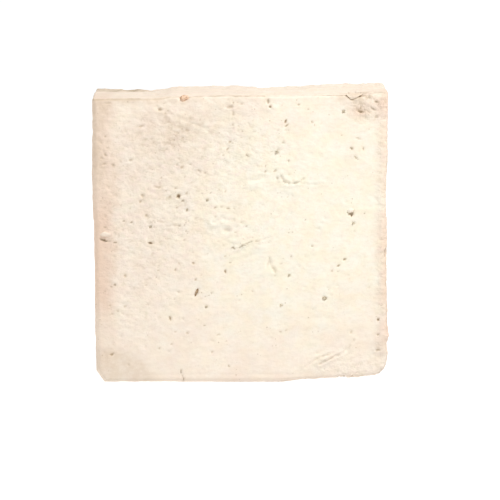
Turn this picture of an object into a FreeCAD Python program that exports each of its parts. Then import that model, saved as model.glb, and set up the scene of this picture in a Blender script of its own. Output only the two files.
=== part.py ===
"""Gymnastics chalk block: one pressed cake of magnesium carbonate, worn at its edges and corners.

The block stands on a narrow side. X runs to the right along its broad front face, Y runs into its
depth (the front face looks along -Y) and Z is up. The origin is the middle of the footprint, on the
surface that the block stands on. Lengths are millimetres and angles are degrees.
"""
import FreeCAD, Part

import os

import Sketcher

DOC = FreeCAD.newDocument("chalk_block")

# Driving dimensions: (alias, value, what it is).
DIMENSIONS = [
    ("block_width", 51.0, "left side to right side"),
    ("block_height", 50.0, "underside to top"),
    ("block_depth", 26.0, "front face to back face"),
    ("left_lean", 0.7, "how far the left side leans in at its foot"),
    ("left_bend", 27.0, "height above which the left side is upright"),
    ("right_waist", 0.4, "how far the right side is hollowed at its waist"),
    ("waist_height", 30.0, "height of the right side's waist"),
    ("top_fall", 0.4, "how far the top falls from its right half to the step"),
    ("top_level", 14.0, "X where the top starts to fall"),
    ("step_height", 0.3, "step in the top, where a thin layer has come away"),
    ("step_place", -12.6, "X of the step"),
    ("worn_foot_width", 1.8, "bottom left corner rubbed off, along X"),
    ("worn_foot_height", 2.7, "bottom left corner rubbed off, along Z"),
    ("crumble_place", 12.0, "X where the underside starts to rise"),
    ("crumble_rise", 0.8, "how far the underside rises by the right side"),
    ("crumble_round", 2.6, "radius of the crumbled bottom right corner"),
    ("corner_round", 0.8, "radius of the other three corners"),
    ("edge_round", 1.0, "radius worn on the edges of the front and back faces"),
    ("flake_place", 19.2, "X of the flake's keel, its thickest line"),
    ("flake_thickness", 1.1, "the flake's thickness over its keel, at the front"),
    ("flake_reach", 8.0, "how far back the flake runs before it thins out"),
    ("flake_left", 1.0, "keel to the flake's left end, along X"),
    ("flake_right", 2.4, "keel to the flake's right end, along X"),
    ("seat_gap", 0.03, "clearance between the cake and a piece seated in it"),
    ("pit_drop", 0.24, "how far a nodule's pit reaches below the nodule"),
    ("nodule_stand", 0.12, "how far a nodule stands out of the front face"),
    ("grain_stand", 0.03, "how far a grain stands out of the front face"),
    ("rust_sink", 0.95, "depth of the rusty fragment's middle behind the front face"),
]

# Pieces seated in the front face: (name, X, Z, half length, half width, tilt of the length from +X).
NODULES = [
    ("middle_nodule", 19.15, 29.75, 0.44, 0.37, 20.0),
    ("edge_nodule", -23.35, 25.45, 0.85, 0.50, -18.0),
]
SPLINTER = ("brown_splinter", -7.45, 15.50, 0.75, 0.24, 66.0)
RUST = ("rust_fragment", -9.60, 49.15, 0.80, 0.45, 14.0)
GRAINS = [
    ("grain_a", 14.60, 14.60, 0.40, 0.30, -25.0),
    ("grain_b", 7.10, 13.40, 0.24, 0.20, 30.0),
    ("grain_c", -5.90, 13.20, 0.25, 0.22, 0.0),
    ("grain_d", 8.50, 18.60, 0.22, 0.20, 0.0),
    ("grain_e", -15.40, 27.10, 0.32, 0.26, 50.0),
    ("grain_f", -9.10, 30.00, 0.30, 0.22, 60.0),
    ("grain_g", -5.60, 31.70, 0.28, 0.22, 20.0),
    ("grain_h", 19.60, 27.60, 0.24, 0.18, 40.0),
    ("grain_i", 6.40, 39.90, 0.32, 0.24, -40.0),
    ("grain_j", 17.90, 46.90, 0.28, 0.26, 0.0),
]
# Pits and cracks open in the front face, as deep as their half width: the same columns.
PITS = [
    ("pit_corner", 21.00, 46.90, 0.60, 0.32, -28.0),
    ("pit_lens", -15.50, 24.10, 0.46, 0.20, -12.0),
    ("pit_dark", -10.50, 32.20, 0.36, 0.28, 10.0),
    ("pit_top", 5.10, 48.00, 0.60, 0.22, 82.0),
    ("slit_high", 7.90, 44.70, 0.55, 0.16, 86.0),
    ("slit_right", 19.30, 40.60, 0.50, 0.16, -20.0),
    ("slit_left", -12.20, 11.05, 0.70, 0.18, -54.0),
    ("slit_foot", -10.10, 1.40, 0.80, 0.14, 76.0),
    ("ledge_left", -0.30, 23.40, 1.00, 0.20, 22.0),
    ("ledge_right", 2.10, 24.20, 1.30, 0.22, 16.0),
    ("crease_left", 7.60, 35.10, 0.90, 0.18, -64.0),
    ("crease_right", 10.10, 34.45, 1.70, 0.18, 4.0),
]
COLUMNS = [
    ("x", "middle, along X"),
    ("z", "middle, above the underside"),
    ("long", "half length"),
    ("wide", "half width"),
    ("tilt", "tilt of its length from +X"),
]


def fill_sheet():
    """The sheet that every expression reads: one dimension a row, its meaning in A and its value in B."""
    rows = list(DIMENSIONS)
    for name, *values in [*NODULES, SPLINTER, RUST, *GRAINS, *PITS]:
        for (column, meaning), value in zip(COLUMNS, values):
            rows.append((f"{name}_{column}", value, f"{name}: {meaning}"))
    sheet = DOC.addObject("Spreadsheet::Sheet", "sizes")
    for number, (alias, value, meaning) in enumerate(rows, 1):
        sheet.set(f"A{number}", meaning)
        sheet.set(f"B{number}", str(value))
        sheet.setAlias(f"B{number}", alias)
    DOC.recompute()


def draw_polygon(sketch, corners):
    """A closed polygon from (X expression, Y expression) corners, each tied to the sheet by a constraint."""
    places = []
    for x, y in corners:
        places.append(FreeCAD.Vector(sketch.evalExpression(x), sketch.evalExpression(y), 0))
    for place, following in zip(places, places[1:] + places[:1]):
        sketch.addGeometry(Part.LineSegment(place, following), False)
    for line in range(len(corners)):
        following = (line + 1) % len(corners)
        sketch.addConstraint(Sketcher.Constraint("Coincident", line, 2, following, 1))
    for line, ((x, y), place) in enumerate(zip(corners, places)):
        for kind, expression, value in (("DistanceX", x, place.x), ("DistanceY", y, place.y)):
            index = sketch.addConstraint(Sketcher.Constraint(kind, -1, 1, line, 1, value))
            sketch.setExpression(f"Constraints[{index}]", expression)


def outline_corners():
    """The cake's outline seen from the front, anticlockwise from the foot of its worn bottom left corner."""
    half = "sizes.block_width / 2"
    high = "sizes.block_height"
    fallen = f"{high} - sizes.top_fall"
    foot_of_left = f"-{half} + sizes.left_lean"
    return [
        (f"{foot_of_left} + sizes.worn_foot_width", "0"),
        ("sizes.crumble_place", "0"),
        (half, "sizes.crumble_rise"),
        (half, "sizes.waist_height / 3"),
        (f"{half} - sizes.right_waist", "sizes.waist_height"),
        (half, "sizes.waist_height * 1.5"),
        (half, high),
        ("sizes.top_level", high),
        ("sizes.step_place", fallen),
        ("sizes.step_place - 3 * sizes.step_height", f"{fallen} - sizes.step_height"),
        (f"-{half}", f"{fallen} - sizes.step_height"),
        (f"-{half}", "sizes.left_bend"),
        (foot_of_left, "sizes.worn_foot_height"),
    ]


def edges_along_depth(shape, wanted):
    """Names of the straight edges along Y whose place in the outline, (X, Z), is wanted."""
    names = []
    for number, edge in enumerate(shape.Edges, 1):
        first, last = edge.Vertexes[0].Point, edge.Vertexes[-1].Point
        if abs(first.x - last.x) < 1e-6 and abs(first.z - last.z) < 1e-6 and wanted(first.x, first.z):
            names.append(f"Edge{number}")
    return names


def broad_faces(shape):
    """Names of the front face and the back face."""
    return [f"Face{number}" for number, face in enumerate(shape.Faces, 1) if face.BoundBox.YLength < 1e-6]


def round_edges(body, base, name, edges, radius):
    """A fillet on the named edges of the feature base, its radius tied to the sheet."""
    fillet = body.newObject("PartDesign::Fillet", name)
    fillet.Base = (base, edges)
    fillet.setExpression("Radius", radius)
    DOC.recompute()
    return fillet


def make_blank():
    """The cake before any pit: the outline padded to the block's depth, its corners and edges worn round."""
    body = DOC.addObject("PartDesign::Body", "blank")
    front_plane = [plane for plane in body.Origin.OriginFeatures if plane.Role == "XZ_Plane"][0]
    outline = body.newObject("Sketcher::SketchObject", "outline")
    outline.AttachmentSupport = [(front_plane, "")]
    outline.MapMode = "FlatFace"
    DOC.recompute()
    draw_polygon(outline, outline_corners())
    DOC.recompute()
    pad = body.newObject("PartDesign::Pad", "cake_pad")
    pad.Profile = outline
    pad.SideType = "Symmetric"
    pad.setExpression("Length", "sizes.block_depth")
    DOC.recompute()
    crumbled = edges_along_depth(pad.Shape, lambda x, z: x > 20 and z < 5)
    rounded = round_edges(body, pad, "crumbled_corner", crumbled, "sizes.crumble_round")
    corners = edges_along_depth(rounded.Shape, lambda x, z: x < -20 and abs(z - 27) > 1 or x > 20 and z > 46)
    rounded = round_edges(body, rounded, "other_corners", corners, "sizes.corner_round")
    round_edges(body, rounded, "worn_edges", broad_faces(rounded.Shape), "sizes.edge_round")
    return body


def seated_ellipsoid(label, row, sink, growth="0", drop="0"):
    """An ellipsoid for a piece seated in the front face, or for its seat when growth is above nought.

    sink is how far the middle lies behind the front face and drop how far it is moved down.
    """
    ellipsoid = DOC.addObject("Part::Ellipsoid", label)
    ellipsoid.Label = label
    ellipsoid.Placement.Rotation = FreeCAD.Rotation(FreeCAD.Vector(0, -1, 0), 1)
    ellipsoid.setExpression("Radius2", f"sizes.{row}_long + {growth}")
    ellipsoid.setExpression("Radius1", f"sizes.{row}_wide + {growth}")
    ellipsoid.setExpression("Radius3", f"sizes.{row}_wide + {growth}")
    ellipsoid.setExpression("Placement.Base.x", f"sizes.{row}_x")
    ellipsoid.setExpression("Placement.Base.y", f"{sink} - sizes.block_depth / 2")
    ellipsoid.setExpression("Placement.Base.z", f"sizes.{row}_z - {drop}")
    ellipsoid.setExpression("Placement.Rotation.Angle", f"sizes.{row}_tilt")
    return ellipsoid


def seated_prism(label, row, sink, growth="0"):
    """A hexagonal prism for an angular piece seated in the front face, or for its seat.

    Its length lies in the front face, half of it to each side of the middle.
    """
    long = f"(sizes.{row}_long + {growth})"
    tilt = f"(sizes.{row}_tilt * 1 deg)"
    prism = DOC.addObject("Part::Prism", label)
    prism.Label = label
    prism.Polygon = 6
    prism.Placement.Rotation = FreeCAD.Rotation(FreeCAD.Vector(0, 1, 0), 1)
    prism.setExpression("Circumradius", f"sizes.{row}_wide + {growth}")
    prism.setExpression("Height", f"2 * {long}")
    prism.setExpression("Placement.Base.x", f"sizes.{row}_x - {long} * cos({tilt})")
    prism.setExpression("Placement.Base.y", f"{sink} - sizes.block_depth / 2")
    prism.setExpression("Placement.Base.z", f"sizes.{row}_z - {long} * sin({tilt})")
    prism.setExpression("Placement.Rotation.Angle", f"90 - sizes.{row}_tilt")
    return prism


def flake_wedge(label, drop="0"):
    """A pyramid upside down over the top front edge, with its apex 1 mm in front of the front face."""
    reach = "(sizes.flake_reach + 1)"
    thick = f"(sizes.flake_thickness * {reach} / sizes.flake_reach)"
    wedge = DOC.addObject("Part::Wedge", label)
    wedge.Label = label
    wedge.Placement.Rotation = FreeCAD.Rotation(FreeCAD.Vector(1, 0, 0), -90)
    for name, expression in (
        ("Xmin", "-2 * sizes.flake_left"),
        ("Xmax", "2 * sizes.flake_right"),
        ("Ymin", "0"),
        ("Ymax", f"2 * {thick}"),
        ("Zmin", "0"),
        ("Zmax", f"2 * {reach}"),
        ("X2min", "0"),
        ("X2max", "0"),
        ("Z2min", "0"),
        ("Z2max", "0"),
    ):
        wedge.setExpression(name, expression)
    wedge.setExpression("Placement.Base.x", "sizes.flake_place")
    wedge.setExpression("Placement.Base.y", "-sizes.block_depth / 2 - 1")
    wedge.setExpression("Placement.Base.z", f"sizes.block_height + {thick} - {drop}")
    return wedge


def group(label, members):
    """One sub-part made of separate solids."""
    compound = DOC.addObject("Part::Compound", label)
    compound.Label = label
    compound.Links = members
    return compound


def make_subparts():
    """Every sub-part under its node name, the cake first."""
    blank = make_blank()
    subparts = {}
    seats = [flake_wedge("flake_seat", "sizes.seat_gap")]
    subparts["edge_flake"] = DOC.addObject("Part::Common", "edge_flake")
    subparts["edge_flake"].Base = blank
    subparts["edge_flake"].Tool = flake_wedge("flake_shape")

    for name, *_ in NODULES:
        sink = f"sizes.{name}_wide - sizes.nodule_stand"
        subparts[name] = seated_ellipsoid(name, name, sink)
        seats.append(seated_ellipsoid(f"{name}_seat", name, sink, "sizes.seat_gap"))
        seats.append(seated_ellipsoid(f"{name}_pit", name, sink, "sizes.seat_gap", "sizes.pit_drop"))

    name = RUST[0]
    subparts[name] = seated_ellipsoid(name, name, "sizes.rust_sink")
    seats.append(seated_ellipsoid(f"{name}_seat", name, "sizes.rust_sink", "sizes.seat_gap"))

    grains = []
    for name, *_ in [SPLINTER, *GRAINS]:
        sink = f"sizes.{name}_wide - sizes.grain_stand"
        grains.append(seated_prism(name, name, sink))
        seats.append(seated_prism(f"{name}_seat", name, sink, "sizes.seat_gap"))
    subparts[SPLINTER[0]] = grains.pop(0)
    subparts["grit_grains"] = group("grit_grains", grains)
    for name, *_ in PITS:
        seats.append(seated_ellipsoid(name, name, "0"))

    all_seats = DOC.addObject("Part::MultiFuse", "all_seats")
    all_seats.Shapes = seats
    cake = DOC.addObject("Part::Cut", "chalk_cake")
    cake.Base = blank
    cake.Tool = all_seats
    subparts["chalk_cake"] = cake
    DOC.recompute()
    return subparts


def check(subparts):
    """Stop on any object in error and on any sub-part whose shape is missing, open or invalid."""
    for item in DOC.Objects:
        if "Invalid" in item.State or "Error" in item.State:
            raise RuntimeError(f"{item.Label} did not recompute: {item.State}")
    for name, item in subparts.items():
        shape = item.Shape
        if shape.isNull() or not shape.isValid() or not shape.Solids:
            raise RuntimeError(f"{name} has no valid solid")
        item.Label = name
        box = shape.optimalBoundingBox()
        print(
            f"{name}: {len(shape.Solids)} solid(s), {shape.Volume:.3f} mm3,"
            f" X {box.XMin:.3f} to {box.XMax:.3f}, Y {box.YMin:.3f} to {box.YMax:.3f},"
            f" Z {box.ZMin:.3f} to {box.ZMax:.3f}"
        )


fill_sheet()
SUBPARTS = make_subparts()
check(SUBPARTS)
os.makedirs("parts", exist_ok=True)
for node, part in SUBPARTS.items():
    part.Shape.exportStep(f"parts/{node}.step")
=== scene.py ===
"""Looks of the gymnastics chalk block: a pressed cake of chalk with worn edges, pits, cracks and specks.

The model's frame: X to the right along the front face, Y into the depth (the front looks along -Y), Z up.
Shapes are worked out in millimetres and handed to Blender in metres.
"""
import itertools
import math

import bpy
import numpy as np
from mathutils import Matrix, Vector


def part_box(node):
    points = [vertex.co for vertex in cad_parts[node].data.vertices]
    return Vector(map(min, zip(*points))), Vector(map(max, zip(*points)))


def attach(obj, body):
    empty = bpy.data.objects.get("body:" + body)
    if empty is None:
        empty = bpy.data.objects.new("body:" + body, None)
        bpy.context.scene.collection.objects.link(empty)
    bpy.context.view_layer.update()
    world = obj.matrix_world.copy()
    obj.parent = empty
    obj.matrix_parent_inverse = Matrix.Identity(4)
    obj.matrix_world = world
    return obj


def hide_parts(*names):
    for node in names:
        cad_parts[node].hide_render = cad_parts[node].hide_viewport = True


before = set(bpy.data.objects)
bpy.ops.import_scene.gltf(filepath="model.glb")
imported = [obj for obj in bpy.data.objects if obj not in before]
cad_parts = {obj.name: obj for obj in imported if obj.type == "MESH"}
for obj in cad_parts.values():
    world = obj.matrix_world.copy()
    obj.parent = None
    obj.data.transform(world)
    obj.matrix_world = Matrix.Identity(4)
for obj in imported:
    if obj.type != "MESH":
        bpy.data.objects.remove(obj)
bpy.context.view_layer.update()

MM = 0.001
LOW, HIGH = [np.array(corner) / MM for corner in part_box("chalk_cake")]
HALF_WIDTH = (HIGH[0] - LOW[0]) / 2
HALF_DEPTH = (HIGH[1] - LOW[1]) / 2
HEIGHT = HIGH[2]
FRONT = -HALF_DEPTH

# ---- noise

DICE = np.random.default_rng(56)
SHUFFLE = np.concatenate([DICE.permutation(256)] * 2)
DIRECTIONS = DICE.normal(size=(256, 3))
DIRECTIONS /= np.linalg.norm(DIRECTIONS, axis=1)[:, None]
CHANCE = DICE.random((256, 4))


def shuffled(cells):
    """A number from 0 to 255 for each lattice cell, always the same for the same cell."""
    x, y, z = (cells[:, axis] & 255 for axis in range(3))
    return SHUFFLE[SHUFFLE[SHUFFLE[x] + y] + z]


def noise(points, size, seed=0):
    """Smooth noise from about -1 to 1, its lumps about size mm across."""
    scaled = points / size + seed * 19.37
    cells = np.floor(scaled).astype(int)
    inside = scaled - cells
    fade = inside**3 * (inside * (inside * 6 - 15) + 10)
    total = np.zeros(len(points))
    for corner in itertools.product((0, 1), repeat=3):
        direction = DIRECTIONS[shuffled(cells + corner)]
        weight = np.prod(np.where(corner, fade, 1 - fade), axis=1)
        total += weight * np.sum(direction * (inside - corner), axis=1)
    return total * 1.7


def layered(points, size, layers=3, seed=0, keep=0.5):
    """Noise with finer and weaker noise on top of it."""
    total = np.zeros(len(points))
    for layer in range(layers):
        total += noise(points, size / 2**layer, seed + 7 * layer) * keep**layer
    return total


def pores(points, size, seed=0):
    """(distance to the nearest pore's middle in cells, its chance numbers) for pores one to a cell."""
    scaled = points / size + seed * 11.71
    cells = np.floor(scaled).astype(int)
    nearest = np.full(len(points), 9.0)
    chances = np.zeros((len(points), 4))
    for step in itertools.product((-1, 0, 1), repeat=3):
        number = shuffled(cells + step)
        middle = cells + step + 0.15 + 0.7 * CHANCE[number][:, :3]
        distance = np.linalg.norm(scaled - middle, axis=1)
        closer = distance < nearest
        nearest[closer] = distance[closer]
        chances[closer] = CHANCE[(number[closer] + 91) & 255]
    return nearest, chances


def smooth(start, end, value):
    """0 at start, 1 at end, with an easy slope between them."""
    share = np.clip((value - start) / (end - start), 0, 1)
    return share * share * (3 - 2 * share)


def blob(x, z, middle, reach, power=2.0):
    """1 in the middle of a soft patch, fading out at its reach along each of the two directions given."""
    far = np.hypot((x - middle[0]) / reach[0], (z - middle[1]) / reach[1])
    return np.exp(-(far**power) * 1.5)


# ---- the block's outer shape

# Outline of the cake seen from the front: the height or place where each side bends, and where it is there.
# The left side leans in at its foot and steps out at mid height; the right side is notched above its foot.
LEFT_SIDE = ([0, 8, 18, 27, 29, 36], [-24.8, -25.0, -25.2, -25.2, -25.4, -25.5])
RIGHT_SIDE = ([0, 5, 6.5, 8, 10, 24, 32, 40, 50], [25.2, 25.6, 25.4, 25.8, 25.5, 25.4, 25.2, 25.5, 25.6])
TOP_SIDE = ([-14, -12, -2, 8, 15, 26], [49.3, 49.7, 49.9, 49.8, 50.0, 50.1])
FOOT_SIDE = ([7, 11, 20, 26], [0.0, 0.4, 0.8, 1.4])
# How strongly the worn crease along the top front edge and its painted shade show, from one end to the other.
RIM_CREASE_AND_SHADE = ([-25, -14, 0, 5, 9, 13, 17, 20, 22], [1.0, 0.8, 0.8, 0.3, 0.0, 0.1, 0.9, 1.0, 0.3])
# Toward the back the sides run straight, this far from the middle.
PLAIN_SIDE = 25.35
# Radius worn on the front and back faces' edges: along the right side, the left side, the top and the foot.
WORN_RADII = np.array([1.1, 1.0, 0.55, 0.75])
# Shallow nicks in the back edge of the top: (X, half length, depth).
BACK_NICKS = [(-15.5, 1.5, 0.15), (-8.0, 2.0, 0.10), (5.0, 2.5, 0.22)]


def back_dip(x):
    """How far the back edge of the top lies below its front edge: a slight ragged fall with a few nicks."""
    dip = 0.28 * smooth(24, 9, x) + 0.05 * np.sin(1.9 * x + 0.5) + 0.03 * np.sin(4.3 * x)
    for middle, reach, depth in BACK_NICKS:
        dip = dip + depth * np.exp(-(((x - middle) / reach) ** 2))
    return dip


def both(a, b, radius):
    """Inside both a and b (negative is inside), with the edge between them rounded to radius."""
    corner = np.hypot(np.maximum(a + radius, 0), np.maximum(b + radius, 0))
    return np.minimum(np.maximum(a, b), -radius) + corner


def block(points):
    """Distance outside the worn block without its relief: negative inside, mm."""
    x, y, z = points.T
    ahead = smooth(5, -7, y)
    right = x - (PLAIN_SIDE + ahead * (np.interp(z, *RIGHT_SIDE) - PLAIN_SIDE))
    left = -PLAIN_SIDE + ahead * (np.interp(z, *LEFT_SIDE) + PLAIN_SIDE) - x
    top = z - np.interp(x, *TOP_SIDE) + back_dip(x) * smooth(-2, 10, y)
    foot = ahead * np.interp(x, *FOOT_SIDE) - z
    rubbed = (-(x + 25.2) * 2.6 - (z - 2.5) * 1.75) / math.hypot(2.6, 1.75) - 0.8 * (1 - ahead)
    corners = [
        both(right, foot, 1.2 + ahead),
        both(right, top, 0.35),
        both(left, top, 0.3),
        both(left, foot, 0.5),
    ]
    outline = np.maximum.reduce([*corners, rubbed])
    sides = np.exp(np.clip(np.array([right, left, top, foot]), -12, 2) * 1.2)
    radius = (sides * WORN_RADII[:, None]).sum(0) / sides.sum(0)
    crumbly = 0.26 * smooth(9, 14, x) * smooth(4, 1, z) + 0.12 * smooth(23, 25, x)
    crumbly = np.maximum(crumbly, 0.26 * smooth(21, 24, x) * smooth(45, 48, z))
    outline = outline + crumbly * (np.abs(layered(points, 1.1, 2, 91)) - 0.25)
    slab = np.abs(y) - HALF_DEPTH + 0.12
    return both(outline, slab, radius)


FLAKE = {"keel": (19.25, 49.0), "left": 0.95, "right": 2.35, "thickness": 1.0, "reach": 8.0}


def flake_wedge(points, gap=0.0):
    """Distance outside the wedge over the top front edge that the flake is made from."""
    x, y, z = points.T
    bend = 0.10 * np.sin(y * 1.7 + 0.4) + 0.05 * np.sin(y * 4.1)
    across = x - FLAKE["keel"][0] - bend
    slope_left = FLAKE["left"] / FLAKE["thickness"]
    slope_right = FLAKE["right"] / FLAKE["thickness"]
    rise = z - FLAKE["keel"][1] - FLAKE["thickness"] * np.clip((y - FRONT) / FLAKE["reach"], 0, 2)
    left = (-across - rise * slope_left) / math.hypot(1, slope_left)
    right = (across - rise * slope_right) / math.hypot(1, slope_right)
    return np.maximum(np.maximum(left, right), -rise) - gap + 0.07 * noise(points, 0.75, 77)


def cake(points):
    """Distance outside the cake: the block without the flake's seat, whose gap is wider in some places."""
    gap = 0.015 + 0.07 * smooth(-0.3, 0.4, noise(points, 1.3, 79))
    return np.maximum(block(points), -flake_wedge(points, gap))


def flake(points):
    """Distance outside the flake."""
    return both(block(points) - 0.02, flake_wedge(points, -0.04), 0.06)


def cast(shape, starts, ends, halvings=22):
    """Where each line from a start inside the shape to an end outside it leaves the shape."""
    near = np.zeros(len(starts))
    far = np.ones(len(starts))
    for _ in range(halvings):
        middle = (near + far) / 2
        inside = shape(starts + (ends - starts) * middle[:, None]) < 0
        near = np.where(inside, middle, near)
        far = np.where(inside, far, middle)
    return starts + (ends - starts) * near[:, None]


def outward(shape, points, step=0.04):
    """The shape's outward direction at each point."""
    slopes = []
    for axis in range(3):
        shift = np.zeros(3)
        shift[axis] = step
        slopes.append(shape(points + shift) - shape(points - shift))
    normals = np.array(slopes).T
    return normals / np.maximum(np.linalg.norm(normals, axis=1), 1e-9)[:, None]


# ---- relief and stains

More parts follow.
